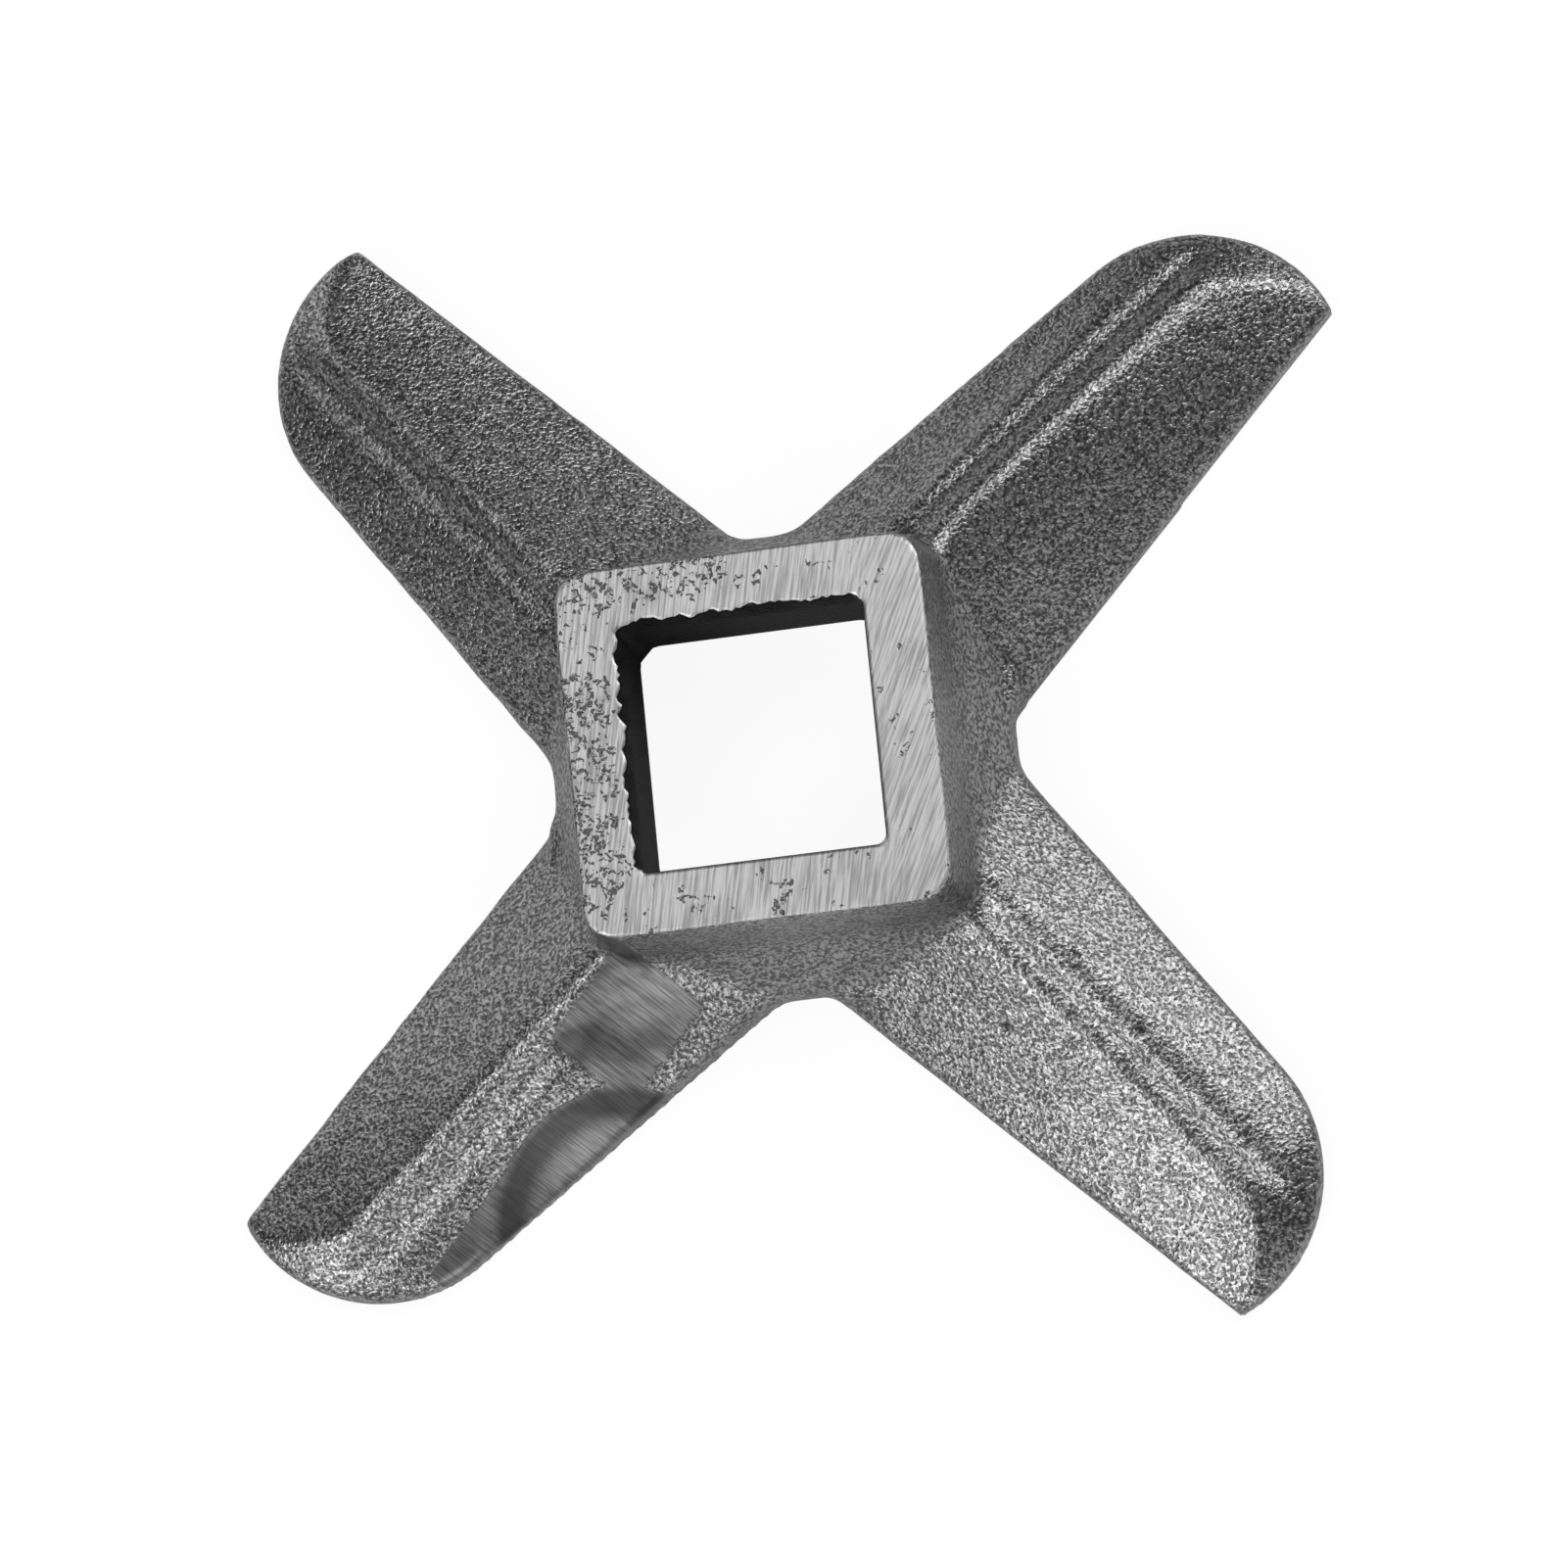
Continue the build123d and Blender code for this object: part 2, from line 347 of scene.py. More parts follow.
@dataclass
class KnifeMaterial:
    """Material of the whole knife. Its finishes are told apart by place and by the mesh's marks."""

    sizes: KnifeSizes
    skin: CastSkin = field(default_factory=CastSkin)
    ground: GroundFace = field(default_factory=GroundFace)
    gate: GateFinish = field(default_factory=GateFinish)
    bore: BoreWall = field(default_factory=BoreWall)
    scratch_stretch: float = 22.0

    def build(self) -> bpy.types.Material:
        """Makes the material.

        Returns:
            The finished material.
        """
        material = bpy.data.materials.new("cast_and_ground_iron")
        material.use_nodes = True
        graph = Graph(material.node_tree)
        place = graph.node("ShaderNodeTexCoord").out("Object")
        place = graph.vector("SCALE", place)
        place.socket.node.inputs["Scale"].default_value = 1 / MM
        axes = graph.node("ShaderNodeSeparateXYZ", None, {0: place})
        x, y, z = axes.out("X"), axes.out("Y"), axes.out("Z")

        sizes = self.sizes
        hub_face = z.step(sizes.hub_height - sizes.hub_fade[0], sizes.hub_height - sizes.hub_fade[1])
        cut_face = z.step(*sizes.cutting_fade)
        side_fade = self.bore.side_fade
        inside = abs(x).most(abs(y)).step(sizes.hole_half + side_fade[0], sizes.hole_half + side_fade[1])
        bore = inside * z.step(*self.bore.low_fade) * (1 - hub_face)
        gate = self._mark(graph, Mark.GATE)
        pits = self._mark(graph, Mark.PIT_SHADE)
        plain = self._mark(graph, Mark.PLAIN)
        ground = hub_face.most(cut_face)

        grain = self._grain(graph, place)
        steep_end = self._scratches(graph, place, self.ground.scratch_angle, self.ground.scratch_mm)
        upright_end = self._scratches(
            graph, place, self.ground.scratch_angle + self.ground.scratch_bend, self.ground.scratch_mm
        )
        scratches = x.step(*self.ground.bend_places).blend(upright_end, steep_end)
        gate_marks = self._scratches(graph, place, sizes.gate_arm.angle + 90, self.gate.scratch_mm)
        gate = (gate + (grain - 0.5) * self.gate.edge_grain).step(*self.gate.edge_range)
        sand = self._sand_holes(graph, place, x, y) * hub_face

        patches = self._patches(graph, place)
        skin = graph.mix_colour(grain.step(*self.skin.tone_range), self.skin.dark_colour, self.skin.colour)
        # Painted lack of glints: the grain's tone is flattened on steep faces, where the light gives few
        # glints.
        colour = graph.mix_colour(plain * self.skin.steep_glintless_share, skin, self.skin.steep_glintless_colour)
        lines = gate_marks.step(*self.gate.tone_range)
        dull = graph.mix_colour(lines, self.gate.dark_colour, self.gate.colour)
        # Painted shade: a near-black band across the ground hollow, standing in for the shading of its curved
        # face.
        hollow = self._mark(graph, Mark.HOLLOW_SHADE) * self.gate.hollow_shade_tone
        dull = graph.mix_colour(hollow, dull, self.gate.hollow_shade_colour)
        colour = graph.mix_colour(gate, colour, dull)
        tone = (scratches + patches * self.ground.patch_tone).step(*self.ground.tone_range)
        bright = graph.mix_colour(tone, self.ground.dark_colour, self.ground.colour)
        # Painted shade: the sand holes in the ground face are darkened.
        bright = graph.mix_colour(sand, bright, self.ground.pit_shade_colour)
        colour = graph.mix_colour(ground, colour, bright)
        # Painted shade: the blow holes in the cast skin are darkened near black.
        colour = graph.mix_colour(pits, colour, self.skin.pit_shade_colour)
        colour = graph.mix_colour(bore, colour, self.bore.colour)

        rough = gate.blend(self.skin.roughness + plain * self.skin.steep_roughness, self.gate.roughness)
        rough = ground.blend(rough, self.ground.roughness + scratches * self.ground.scratch_roughness)
        rough = bore.blend(rough, self.bore.roughness)

        height = grain * (1 - plain * self.skin.steep_smoothing) * self.skin.grain_depth_mm
        height = gate.blend(height, gate_marks * self.gate.scratch_depth_mm)
        ground_height = scratches * self.ground.scratch_depth_mm - sand * self.ground.pit_depth_mm
        height = ground.blend(height, ground_height)
        bump = graph.node("ShaderNodeBump", None, {"Strength": 1.0, "Distance": MM, "Height": height})
        shader = graph.node(
            "ShaderNodeBsdfPrincipled",
            None,
            {"Base Color": colour, "Roughness": rough, "Normal": bump.out("Normal"), "Metallic": 1.0},
        )
        graph.node("ShaderNodeOutputMaterial", None, {"Surface": shader.out()})
        return material

    def _grain(self, graph: Graph, place: Signal) -> Signal:
        """Height of the cast skin's worm-like grain, from 0 to 1.

        Args:
            graph: The material's graph.
            place: Position on the knife in millimetres.

        Returns:
            The grain's height.
        """
        detail = {"Scale": 1 / self.skin.grain_mm, "Detail": 1.0, "Roughness": 0.5, "Distortion": 0.4}
        return graph.node("ShaderNodeTexNoise", None, {"Vector": place, **detail}).out(0)

    @staticmethod
    def _mark(graph: Graph, mark: Mark) -> Signal:
        """One of the marks that the mesh carries."""
        return graph.node("ShaderNodeAttribute", {"attribute_name": mark.value}).out("Fac")

    @staticmethod
    def _patches(graph: Graph, place: Signal) -> Signal:
        """Broad, soft patches of brighter and duller metal, from about -1 to 1."""
        patches = graph.node("ShaderNodeTexNoise", None, {"Vector": place, "Scale": 0.45, "Detail": 2.0})
        return (patches.out(0) - 0.5) * 3.0

    def _sand_holes(self, graph: Graph, place: Signal, x: Signal, y: Signal) -> Signal:
        """Small sand holes that the grinding left in the hub's face, along its left and upper sides.

        Args:
            graph: The material's graph.
            place: Position on the knife in millimetres.
            x: Its part along X.
            y: Its part along Y.

        Returns:
            1 in a hole, 0 outside.
        """
        sizes = self.sizes
        bend = graph.node("ShaderNodeTexNoise", None, {"Vector": place, "Scale": 3.0, "Detail": 1.0})
        bent = graph.vector("ADD", place, graph.vector("MULTIPLY", bend.out("Color"), (0.9, 0.9, 0.0)))
        holes = graph.node(
            "ShaderNodeTexVoronoi", {"feature": "F1"}, {"Vector": bent, "Scale": 1 / self.ground.pit_mm}
        )
        dots = holes.out("Distance").step(*self.ground.pit_range)
        chains = graph.node(
            "ShaderNodeTexNoise", None, {"Vector": place, "Scale": 0.9, "Detail": 2.0, "Distortion": 0.8}
        ).out(0)
        left = x.step(-sizes.hole_half - 0.3, -sizes.hole_half - 0.9) * y.step(-sizes.hub_half, -6.0)
        lower_left = left * y.step(5.5, 2.0)
        upper_left = y.step(sizes.hole_half + 0.8, sizes.hole_half + 1.4) * x.step(2.0, -3.0)
        share = (lower_left + upper_left * 0.8 + left * 0.35).least(1.0)
        return dots * (chains + share * self.ground.chain_share).step(*self.ground.chain_range)

    def _scratches(self, graph: Graph, place: Signal, angle: float, width: float) -> Signal:
        """Parallel grinding scratches, from 0 to 1.

        Args:
            graph: The material's graph.
            place: Position on the knife in millimetres.
            angle: Direction of the scratches in degrees from +X.
            width: Typical width of a scratch in millimetres.

        Returns:
            The scratches' height.
        """
        stretch = (self.scratch_stretch, 1.0, self.scratch_stretch)
        turned = graph.node(
            "ShaderNodeMapping",
            {"vector_type": "TEXTURE"},
            {"Vector": place, "Rotation": (0.0, 0.0, math.radians(angle)), "Scale": stretch},
        ).out()
        detail = {"Scale": 1 / width, "Detail": 3.0, "Roughness": 0.6, "Distortion": 0.0}
        return graph.node("ShaderNodeTexNoise", None, {"Vector": turned, **detail}).out(0)


@dataclass
class CastWaves:
    """Geometry Nodes tree that gives a mesh the waves and dimples of a sand casting."""

    wave_mm: float = 3.2
    wave_height_mm: float = 0.05
    dimple_mm: float = 0.9
    dimple_height_mm: float = 0.02
    seed: float = 4.0

    def build(self) -> bpy.types.NodeTree:
        """Makes the tree.

        Returns:
            A tree with inputs for the size, height and seed of its waves, and for the material.
        """
        tree = bpy.data.node_groups.new("cast_waves", "GeometryNodeTree")
        face = tree.interface
        face.new_socket("Geometry", in_out="INPUT", socket_type="NodeSocketGeometry")
        for name in ("Wave Size", "Wave Height", "Dimple Size", "Dimple Height", "Seed"):
            face.new_socket(name, in_out="INPUT", socket_type="NodeSocketFloat")
        face.new_socket("Material", in_out="INPUT", socket_type="NodeSocketMaterial")
        face.new_socket("Geometry", in_out="OUTPUT", socket_type="NodeSocketGeometry")
        graph = Graph(tree)
        given = graph.node("NodeGroupInput")
        place = graph.node("GeometryNodeInputPosition").out()
        cast = graph.node(
            "GeometryNodeInputNamedAttribute", {"data_type": "FLOAT"}, {"Name": Mark.CAST.value}
        ).out("Attribute")
        seed = given.out("Seed")
        waves = self._swell(graph, place, seed, given.out("Wave Size")) * given.out("Wave Height")
        dimples = self._swell(graph, place, seed + 9.0, given.out("Dimple Size")) * given.out("Dimple Height")
        normal = graph.node("GeometryNodeInputNormal").out()
        offset = graph.vector("SCALE", normal)
        graph.tree.links.new(((waves + dimples) * cast).socket, offset.socket.node.inputs["Scale"])
        mesh = given.out("Geometry")
        moved = graph.node("GeometryNodeSetPosition", None, {"Geometry": mesh, "Offset": offset})
        real = graph.node("GeometryNodeRealizeInstances", None, {"Geometry": moved.out()})
        dressed = graph.node(
            "GeometryNodeSetMaterial", None, {"Geometry": real.out(), "Material": given.out("Material")}
        )
        graph.node("NodeGroupOutput", None, {0: dressed.out()})
        return tree

    @staticmethod
    def _swell(graph: Graph, place: Signal, seed: Signal, size: Signal) -> Signal:
        """One layer of smooth noise about zero.

        Args:
            graph: The tree's graph.
            place: Position of the point.
            seed: Seed of the layer.
            size: Wavelength of the layer.

        Returns:
            Noise from about -1 to 1.
        """
        noise_node = graph.node(
            "ShaderNodeTexNoise",
            {"noise_dimensions": "4D"},
            {"Vector": place, "W": seed, "Scale": 1 / size, "Detail": 1.0},
        )
        return (noise_node.out(0) - 0.5) * 3.0

    def apply(self, piece: bpy.types.Object, material: bpy.types.Material) -> None:
        """Runs the tree on a piece and keeps the result as its mesh.

        Args:
            piece: The piece to change.
            material: Material that the tree sets.
        """
        tree = self.build()
        modifier = piece.modifiers.new("cast_waves", "NODES")
        modifier.node_group = tree
        values = {
            "Wave Size": self.wave_mm * MM,
            "Wave Height": self.wave_height_mm * MM,
            "Dimple Size": self.dimple_mm * MM,
            "Dimple Height": self.dimple_height_mm * MM,
            "Seed": self.seed,
            "Material": material,
        }
        for item in tree.interface.items_tree:
            if item.in_out == "INPUT" and item.name in values:
                modifier[item.identifier] = values[item.name]
        settle(piece)


def settle(piece: bpy.types.Object) -> None:
    """Applies a piece's modifiers to its mesh."""
    bpy.context.view_layer.update()
    evaluated = piece.evaluated_get(bpy.context.evaluated_depsgraph_get())
    mesh = bpy.data.meshes.new_from_object(evaluated)
    piece.modifiers.clear()
    old = piece.data
    piece.data = mesh
    bpy.data.meshes.remove(old)


def read_points(mesh: bpy.types.Mesh) -> np.ndarray:
    """Places of a mesh's vertices in millimetres, one row each."""
    flat = np.empty(len(mesh.vertices) * 3)
    mesh.vertices.foreach_get("co", flat)
    return flat.reshape(-1, 3) / MM


def write_points(mesh: bpy.types.Mesh, points: np.ndarray) -> None:
    """Moves a mesh's vertices to places given in millimetres."""
    mesh.vertices.foreach_set("co", (points * MM).ravel())
    mesh.update()


def write_mark(mesh: bpy.types.Mesh, mark: Mark, values: np.ndarray) -> None:
    """Stores one number for each vertex of a mesh as a mark."""
    layer = mesh.attributes.get(mark.value) or mesh.attributes.new(mark.value, "FLOAT", "POINT")
    layer.data.foreach_set("value", values.astype(np.float32))


def read_mark(mesh: bpy.types.Mesh, mark: Mark) -> np.ndarray:
    """Reads a mark, one number for each vertex of a mesh."""
    values = np.empty(len(mesh.vertices), dtype=np.float32)
    mesh.attributes[mark.value].data.foreach_get("value", values)
    return values.astype(float)


def ease(values: np.ndarray, low: float, high: float) -> np.ndarray:
    """Smooth step from 0 at low to 1 at high, for an array."""
    share = np.clip((values - low) / (high - low), 0.0, 1.0)
    return share * share * (3 - 2 * share)


@dataclass(frozen=True)
class Grinding:
    """Where one arm was ground, along it and across it, in millimetres."""

    patch_start: float = 12.7
    patch_end: float = 19.2
    patch_front: float = 0.25
    patch_back: float = 5.3
    patch_fade: float = 0.8
    hub_fade: float = 0.2
    hollow_along: float = 24.3
    hollow_across: float = 7.4
    hollow_reach: float = 6.9
    hollow_depth: float = 5.3
    hollow_edge: Pair = (1.02, 0.96)
    # Band of painted shade across the hollow, where its curved face turns from the light.
    shade_ring_inside: Pair = (0.62, 0.80)
    shade_ring_outside: Pair = (1.04, 0.92)
    tail_end: float = 33.0
    tail_fade: float = 0.3
    tail_front: Pair = (2.1, 2.5)
    above: Pair = (0.5, 0.9)
    stub_start: Pair = (13.2, 14.2)
    stub_end: Pair = (21.0, 19.5)
    stub_front: Pair = (-0.2, 0.9)
    stub_back: Pair = (5.8, 4.8)
    stub_top: Pair = (6.8, 6.2)


@dataclass(frozen=True)
class RimChips:
    """Broken edge along two sides of the drive hole, in millimetres."""

    start: float = 5.5
    past_corner: float = 0.4
    deepest: float = 1.6
    shallowest: float = 0.1
    width: float = 0.55
    mean: float = 0.12
    coarse_length: float = 0.9
    coarse_depth: float = 0.27
    fine_length: float = 0.32
    fine_depth: float = 0.22
    least_share: float = 0.02


@dataclass(frozen=True)
class Pit:
    """Small blow hole in the cast skin, in millimetres."""

    x: float
    y: float
    radius: float
    depth: float


@dataclass
class KnifeCasting:
    """The knife: one casting, ground on a few faces."""

    sizes: KnifeSizes = field(default_factory=KnifeSizes)
    cell_mm: float = 0.23
    softening: float = 0.6
    softening_rounds: int = 4
    root_softening_rounds: int = 10
    gate_softening_rounds: int = 45
    root_inner_mm: float = 13.0
    root_outer_mm: float = 17.0
    plain_above: float = 0.66
    plain_below: float = 0.40
    crest_arm: ArmFrame = ArmFrame(45.0)
    crest_shift_mm: float = 0.45
    crest_half_mm: float = 2.6
    crest_from_mm: Pair = (1.2, 2.4)
    recess_break_mm: float = 0.3
    flat_mm: float = 0.13
    foot_fade_mm: Pair = (0.15, 0.9)
    face_fade_mm: Pair = (0.05, 0.7)
    gate_firmness: float = 0.2
    underside_saving: float = 0.9
    grinding: Grinding = field(default_factory=Grinding)
    chips: RimChips = field(default_factory=RimChips)
    pits: "tuple[Pit, ...]" = (
        Pit(14.9, -12.45, 0.34, 0.2),
        Pit(17.8, -16.7, 0.38, 0.25),
        Pit(10.7, -15.7, 0.32, 0.2),
    )
    waves: CastWaves = field(default_factory=CastWaves)

    def build(self) -> bpy.types.Object:
        """Makes the dressed knife in place of the plain solid.

        Returns:
            The finished piece.
        """
        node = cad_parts["grinder_knife"]
        material = KnifeMaterial(self.sizes).build()
        piece = self._even_copy(node)
        self._mark_ground(piece.data)
        self._soften(piece.data)
        self.waves.apply(piece, material)
        self._finish_faces(piece.data)
        self._thin_underside(piece)
        self._shade(piece.data)
        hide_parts("grinder_knife")
        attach(piece, "root")
        return piece

    def _even_copy(self, node: bpy.types.Object) -> bpy.types.Object:
        """Copies the solid's mesh as an even net of small faces.

        Args:
            node: The solid's object.

        Returns:
            The new piece.
        """
        body = bmesh.new()
        body.from_mesh(node.data)
        bmesh.ops.remove_doubles(body, verts=body.verts, dist=1e-7)
        mesh = bpy.data.meshes.new("knife_casting")
        body.to_mesh(mesh)
        body.free()
        piece = bpy.data.objects.new("knife_casting", mesh)
        bpy.context.scene.collection.objects.link(piece)
        net = piece.modifiers.new("net", "REMESH")
        net.mode = "VOXEL"
        net.voxel_size = self.cell_mm * MM
        settle(piece)
        return piece

    def _mark_ground(self, mesh: bpy.types.Mesh) -> None:
        """Marks the ground gate, the hollow that the wheel left beyond it, and a band of painted shade across
        the hollow.

        Args:
            mesh: The piece's mesh.
        """
        points = read_points(mesh)
        along, across = self.sizes.gate_arm.local(points)
        grind = self.grinding
        fade = grind.patch_fade
        patch = ease(along, grind.patch_start - grind.hub_fade, grind.patch_start)
        patch *= ease(across, grind.patch_front - fade, grind.patch_front + fade)
        patch *= ease(along, grind.patch_end + fade, grind.patch_end - fade)
        patch *= ease(across, grind.patch_back + fade, grind.patch_back - fade)
        from_middle = (along - grind.hollow_along) / grind.hollow_reach
        from_edge = (across - grind.hollow_across) / grind.hollow_depth
        round_share = np.hypot(from_middle, from_edge)
        hollow = ease(round_share, *grind.hollow_edge)
        tail = ease(along, grind.hollow_along, grind.hollow_along + 1.0) * ease(across, *grind.tail_front)
        tail *= ease(along, grind.tail_end + grind.tail_fade, grind.tail_end - grind.tail_fade)
        above = ease(points[:, 2], *grind.above)
        write_mark(mesh, Mark.GATE, np.maximum(np.maximum(patch, hollow), tail) * above)
        # Band of painted shade across the hollow, where its curved face turns from the light.
        ring = ease(round_share, *grind.shade_ring_inside) * ease(round_share, *grind.shade_ring_outside)
        write_mark(mesh, Mark.HOLLOW_SHADE, ring * above)

    def _cast_share(self, points: np.ndarray, gate: np.ndarray) -> np.ndarray:
        """How far each point is cast skin: 1 on the skin, 0 on a ground face or in the drive hole.

        Args:
            points: Places in millimetres.
            gate: The mark of the ground gate.

        Returns:
            One number for each point.
        """
        sizes = self.sizes
        height = points[:, 2]
        square = np.abs(points[:, :2]).max(axis=1)
        radius = np.hypot(points[:, 0], points[:, 1])
        near, far = self.face_fade_mm
        share = ease(height, *self.foot_fade_mm)
        share *= ease(height, sizes.hub_height - near, sizes.hub_height - far)
        in_bore = (square < sizes.hole_half + 0.6) & (height > sizes.bore_floor - 0.4)
        in_recess = (radius < sizes.recess_radius + 0.4) & (height < sizes.bore_floor + 0.4)
        share[in_bore | in_recess] = 0.0
        return share * (1 - self.gate_firmness * gate)

    def _gate_share(self, points: np.ndarray) -> np.ndarray:
        """How far each point lies on the stub of the gate, where the wheel left no steps.

        Args:
            points: Places in millimetres.

        Returns:
            One number for each point.
        """
        along, across = self.sizes.gate_arm.local(points)
        height = points[:, 2]
        grind = self.grinding
        share = ease(along, *grind.stub_start) * ease(along, *grind.stub_end)
        share *= ease(across, *grind.stub_front) * ease(across, *grind.stub_back)
        return share * ease(height, *grind.above) * ease(height, *grind.stub_top)

    def _soften(self, mesh: bpy.types.Mesh) -> None:
        """Rounds the casting's inner and outer corners, and marks its cast skin."""
        points = read_points(mesh)
        cast = self._cast_share(points, read_mark(mesh, Mark.GATE))
        ends = np.empty(len(mesh.edges) * 2, dtype=np.int64)
        mesh.edges.foreach_get("vertices", ends)
        first, second = ends[0::2], ends[1::2]
        count = len(points)
        ring = np.bincount(first, minlength=count) + np.bincount(second, minlength=count)
        near_hub = ease(np.hypot(points[:, 0], points[:, 1]), self.root_outer_mm, self.root_inner_mm)
        stages = (
            (self.softening_rounds, cast),
            (self.root_softening_rounds, cast * near_hub),
            (self.gate_softening_rounds, cast * self._gate_share(points)),
        )
        for rounds, share in stages:
            for _ in range(rounds):
                mean = np.empty_like(points)
                for axis in range(3):
                    line = points[:, axis]
                    total = np.bincount(first, line[second], count) + np.bincount(second, line[first], count)
                    mean[:, axis] = total / ring
                points += (mean - points) * (self.softening * share)[:, None]
        write_points(mesh, points)
        write_mark(mesh, Mark.CAST, cast)

    def _finish_faces(self, mesh: bpy.types.Mesh) -> None:
        """Makes the ground faces flat again, chips the hole's rim and sinks the casting's pits."""
        points = read_points(mesh)
        sizes = self.sizes
        top = points[:, 2] > sizes.hub_height - self.flat_mm
        points[top, 2] = sizes.hub_height
        low = points[:, 2] < self.flat_mm
        points[low, 2] = 0.0
        self._chip_rim(points)
        pit_shade = np.zeros(len(points))
        for hole in self.pits:
            reach = np.hypot(points[:, 0] - hole.x, points[:, 1] - hole.y)
            depth = ease(reach, hole.radius, 0.0) * (points[:, 2] > 0.5)
            points[:, 2] -= hole.depth * depth
            pit_shade = np.maximum(pit_shade, depth)
        self._shift_crest(points)
        self._break_recess(points)
        write_points(mesh, points)
        # The pits' depth also marks the painted shade that darkens them.
        write_mark(mesh, Mark.PIT_SHADE, pit_shade)
        normals = np.empty(len(points) * 3)
        mesh.vertex_normals.foreach_get("vector", normals)
        upward = normals.reshape(-1, 3)[:, 2]
        # The plain mark also flattens the steep faces' tone, as a painted lack of glints.
        write_mark(mesh, Mark.PLAIN, ease(upward, self.plain_above, self.plain_below))

    def _shift_crest(self, points: np.ndarray) -> None:
        """Moves the crest of one arm a little across it, as its mould lay.

        Args:
            points: Places in millimetres, changed here.
        """
        along, across = self.crest_arm.local(points)
        share = ease(along, self.root_inner_mm, self.root_outer_mm)
        share *= np.exp(-((across / self.crest_half_mm) ** 4))
        share *= ease(points[:, 2], *self.crest_from_mm)
        points += (self.crest_shift_mm * share)[:, None] * self.crest_arm.across

    def _break_recess(self, points: np.ndarray) -> None:
        """Breaks the lower edge of the recess under the hub.

        Args:
            points: Places in millimetres, changed here.
        """
        radius = np.hypot(points[:, 0], points[:, 1])
        share = ease(points[:, 2], 0.9, 0.0) * ease(np.abs(radius - self.sizes.recess_radius), 0.9, 0.2)
        outward = points[:, :2] / np.maximum(radius, 1.0)[:, None]
        points[:, :2] += outward * (self.recess_break_mm * share)[:, None]

    def _chip_rim(self, points: np.ndarray) -> None:
        """Breaks the edge of the drive hole along its left and upper sides.

        Args:
            points: Places in millimetres, changed here.
        """
        sizes = self.sizes
        chips = self.chips
        x, y, z = points.T
        side_end = sizes.hole_half + chips.past_corner
        left = (x < -chips.start) & (np.abs(y) < side_end) & (np.abs(x) > np.abs(y))
        upper = (y > chips.start) & (np.abs(x) < side_end) & (np.abs(y) >= np.abs(x))
        square = np.maximum(np.abs(x), np.abs(y))
        share = ease(z, sizes.hub_height - chips.deepest, sizes.hub_height - chips.shallowest)
        share *= np.exp(-(((square - sizes.hole_half) / chips.width) ** 2))
        for side, axis in ((left, 0), (upper, 1)):
            for index in np.nonzero(side & (share > chips.least_share))[0]:
                run = float(points[index, 1 - axis])
                coarse = noise.noise(Vector((run / chips.coarse_length, 3.0 * axis, 0.5)))
                fine = noise.noise(Vector((run / chips.fine_length, 7.0 + axis, 0.5)))
                away = chips.mean + chips.coarse_depth * coarse + chips.fine_depth * fine
                points[index, axis] += (-1 if axis == 0 else 1) * away * share[index]

    def _thin_underside(self, piece: bpy.types.Object) -> None:
        """Spends fewer faces on the flat underside."""
        mesh = piece.data
        points = read_points(mesh)
        flat = points[:, 2] < 0.001
        ends = np.empty(len(mesh.edges) * 2, dtype=np.int64)
        mesh.edges.foreach_get("vertices", ends)
        first, second = ends[0::2], ends[1::2]
        inner = flat.copy()
        inner[first[~flat[second]]] = False
        inner[second[~flat[first]]] = False
        group = piece.vertex_groups.new(name="underside")
        group.add(np.nonzero(inner)[0].tolist(), 1.0, "REPLACE")
        faces = len(mesh.polygons) * 2
        spared = int(inner.sum()) * 2 * self.underside_saving
        thin = piece.modifiers.new("thin", "DECIMATE")
        thin.ratio = (faces - spared) / faces
        thin.vertex_group = group.name
        settle(piece)
        piece.vertex_groups.clear()

    def _shade(self, mesh: bpy.types.Mesh) -> None:
        """Shades the mesh smooth and logs its size."""
        mesh.shade_smooth()
        LOG.info("knife: %d faces, %d vertices", len(mesh.polygons), len(mesh.vertices))


@dataclass(frozen=True)
class PhotoView:
    """The photograph's camera, fitted to the knife's outline in the photograph."""

    pixels_per_mm: float = 18.96249
    distance_mm: float = 306.03
    tilt_x: float = -0.15692
    tilt_y: float = -0.17213
    spin: float = 0.11236
    centre_u: float = 805.874
    centre_v: float = 787.043
    sensor_mm: float = 36.0

    def build(self) -> bpy.types.Object:
        """Makes the camera and sets it as the scene's own.

        Returns:
            The camera.
        """
        tilt = math.hypot(self.tilt_x, self.tilt_y)
        turn = Matrix.Rotation(tilt, 3, Vector((self.tilt_x, self.tilt_y, 0.0)) / tilt)
        turn = turn @ Matrix.Rotation(self.spin, 3, "Z")
        middle = PHOTO_PIXELS / 2
        aside = (self.centre_u - middle) / self.pixels_per_mm
        above = -(self.centre_v - middle) / self.pixels_per_mm
        place = turn.transposed() @ Vector((-aside, -above, self.distance_mm))
        data = bpy.data.cameras.new("photo_camera")
        data.sensor_width = self.sensor_mm
        data.lens = self.pixels_per_mm * self.distance_mm / PHOTO_PIXELS * self.sensor_mm
        data.clip_start = 0.01
        data.clip_end = 20.0
        camera = bpy.data.objects.new("photo_camera", data)
        camera.matrix_world = Matrix.Translation(place * MM) @ turn.transposed().to_4x4()
        bpy.context.scene.collection.objects.link(camera)
        bpy.context.scene.camera = camera
        return camera


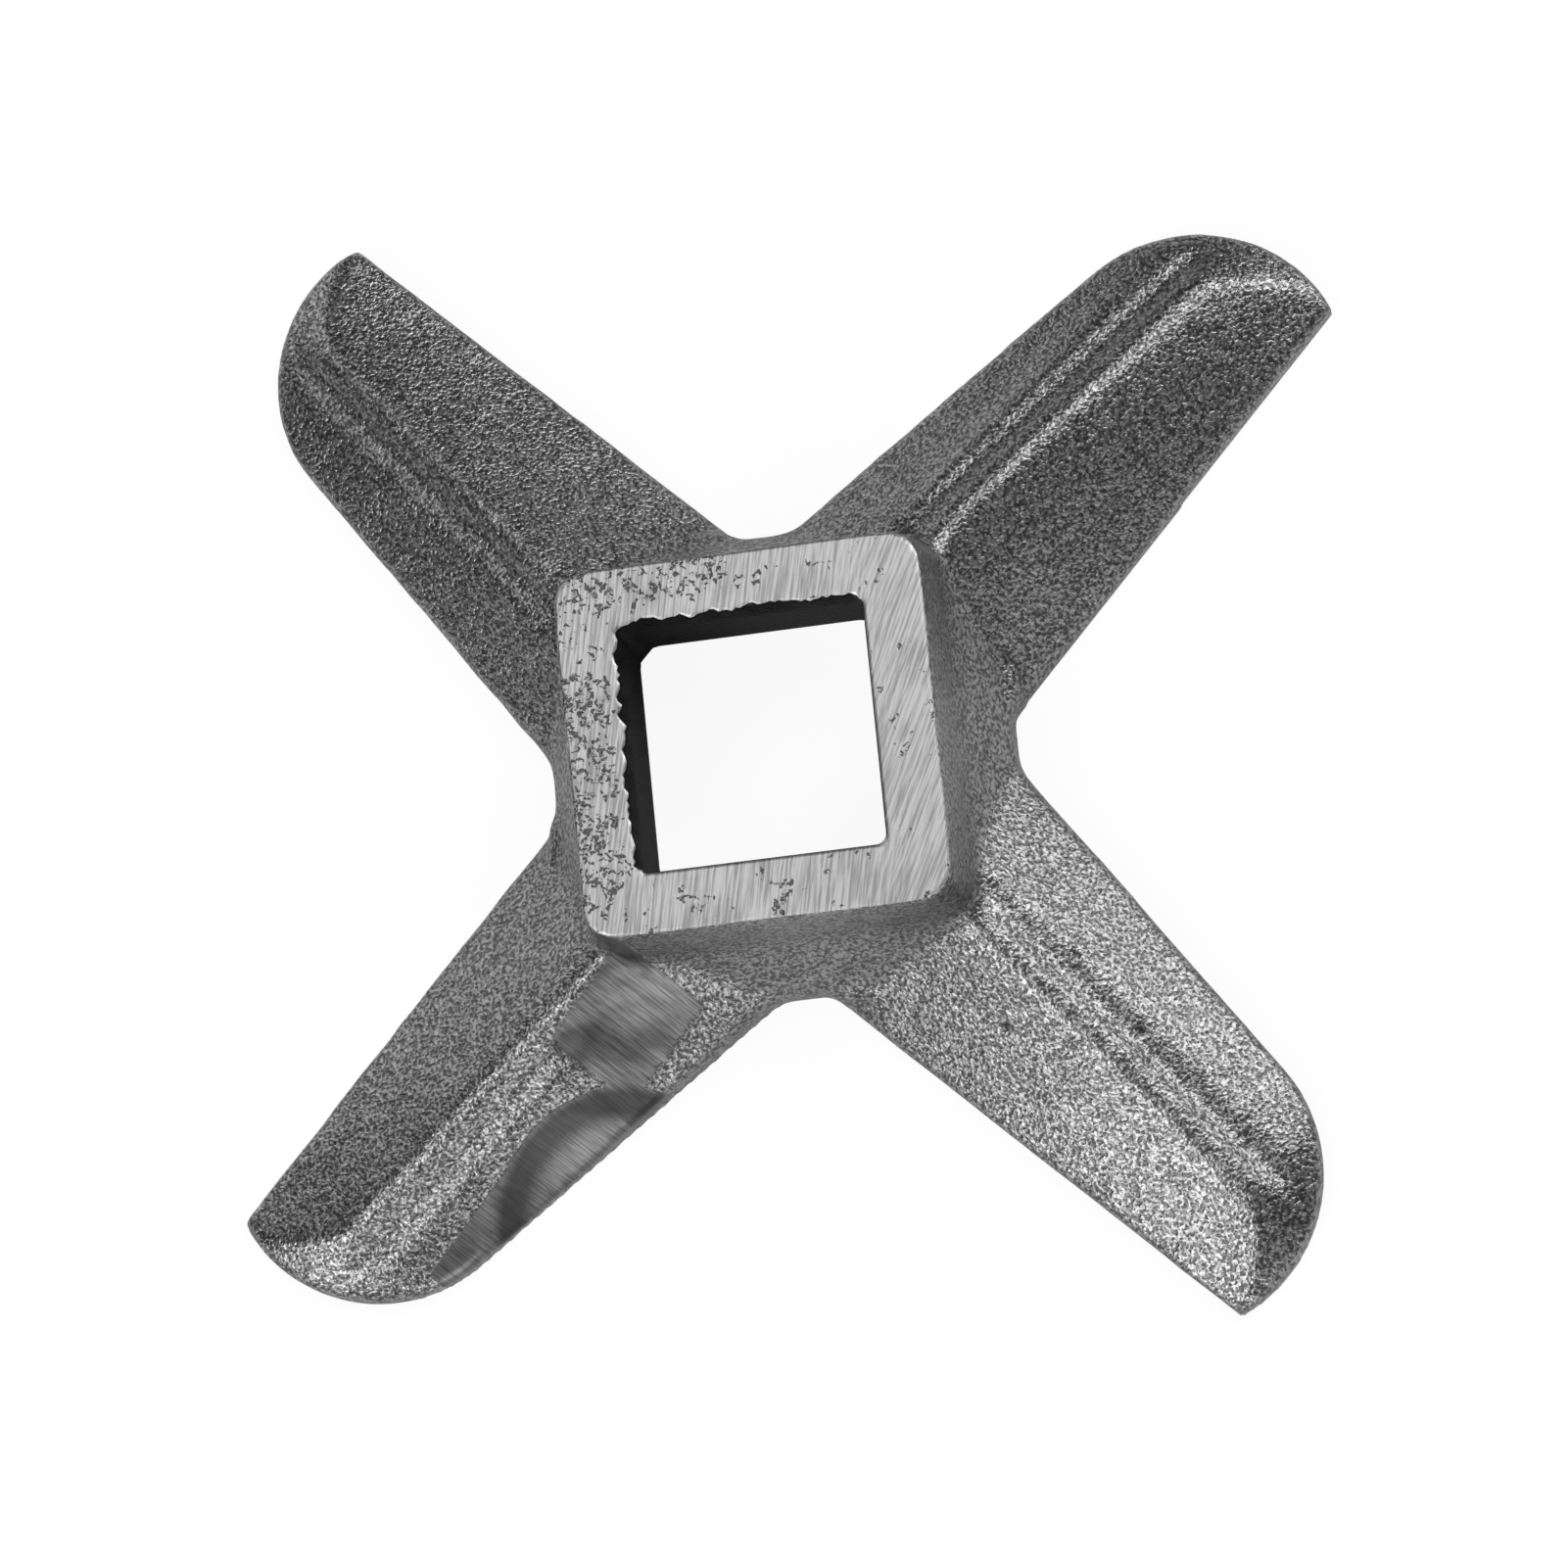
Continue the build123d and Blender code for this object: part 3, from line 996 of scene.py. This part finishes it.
@dataclass(frozen=True)
class SoftLight:
    """One soft studio lamp, aimed at the knife."""

    name: str
    azimuth: float
    height: float
    size: float
    power: float
    distance: float = 0.7

    def build(self) -> bpy.types.Object:
        """Makes the lamp.

        Returns:
            The lamp.
        """
        data = bpy.data.lights.new(self.name, "AREA")
        data.shape = "DISK"
        data.size = self.size
        data.energy = self.power
        lamp = bpy.data.objects.new(self.name, data)
        turn, rise = math.radians(self.azimuth), math.radians(self.height)
        away = Vector((math.cos(turn) * math.cos(rise), math.sin(turn) * math.cos(rise), math.sin(rise)))
        lamp.location = away * self.distance
        lamp.rotation_euler = away.to_track_quat("Z", "Y").to_euler()
        bpy.context.scene.collection.objects.link(lamp)
        return lamp


@dataclass
class Studio:
    """Pale floor, white surroundings and soft lamps."""

    floor_half: float = 3.0
    floor_white: float = 0.93
    world_level: float = 0.06
    lamps: "tuple[SoftLight, ...]" = (
        SoftLight("key_softbox", 225.0, 42.0, 0.30, 2.05),
        SoftLight("overhead_softbox", 45.0, 66.0, 0.30, 1.2),
        SoftLight("right_softbox", 45.0, 42.0, 0.30, 1.6),
        SoftLight("upper_left_fill", 135.0, 66.0, 0.30, 0.7),
        SoftLight("high_key_fill", 225.0, 66.0, 0.30, 0.95),
        SoftLight("low_key_fill", 225.0, 18.0, 0.30, 0.6),
        SoftLight("low_upper_left_fill", 135.0, 18.0, 0.30, 0.7),
        SoftLight("low_right_fill", 30.0, 18.0, 0.30, 1.5),
        SoftLight("low_front_fill", 280.0, 20.0, 0.30, 1.4),
        SoftLight("low_lower_right_fill", 318.0, 22.0, 0.30, 0.45),
    )

    def build(self) -> None:
        """Makes the floor, the surroundings and the lamps."""
        self._floor()
        self._surroundings()
        for lamp in self.lamps:
            lamp.build()
            LOG.info("lamp %s", lamp.name)

    def _floor(self) -> None:
        """Makes the pale floor that the knife lies on."""
        half = self.floor_half
        mesh = bpy.data.meshes.new("floor")
        outline = ((-half, -half), (half, -half), (half, half), (-half, half))
        mesh.from_pydata([(x, y, -FLOOR_DROP) for x, y in outline], [], [(0, 1, 2, 3)])
        floor = bpy.data.objects.new("floor", mesh)
        bpy.context.scene.collection.objects.link(floor)
        material = bpy.data.materials.new("pale_floor")
        material.use_nodes = True
        graph = Graph(material.node_tree)
        paper = graph.node("ShaderNodeBsdfDiffuse", None, {"Color": (0.8, 0.8, 0.8, 1.0)})
        white = graph.node("ShaderNodeEmission", None, {"Color": (1.0, 1.0, 1.0, 1.0), "Strength": 1.0})
        seen = graph.node("ShaderNodeLightPath").out("Is Camera Ray") * self.floor_white
        both = graph.node("ShaderNodeMixShader", None, {0: seen, 1: paper.out(), 2: white.out()})
        graph.node("ShaderNodeOutputMaterial", None, {"Surface": both.out()})
        mesh.materials.append(material)

    def _surroundings(self) -> None:
        """Sets a white background that lights the knife more gently than it shows."""
        world = bpy.data.worlds.new("studio")
        bpy.context.scene.world = world
        world.use_nodes = True
        graph = Graph(world.node_tree)
        path = graph.node("ShaderNodeLightPath")
        level = path.out("Is Camera Ray").blend(self.world_level, 1.0)
        back = graph.node("ShaderNodeBackground", None, {"Color": (1.0, 1.0, 1.0, 1.0), "Strength": level})
        graph.node("ShaderNodeOutputWorld", None, {"Surface": back.out()})


def main() -> None:
    """Builds the knife, its camera and its studio."""
    logging.basicConfig(level=logging.INFO, stream=sys.stdout)
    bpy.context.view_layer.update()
    piece = KnifeCasting().build()
    LOG.info("piece %s", piece.name)
    PhotoView().build()
    Studio().build()
    bpy.context.scene.view_settings.view_transform = "Standard"


if __name__ == "__main__":
    main()
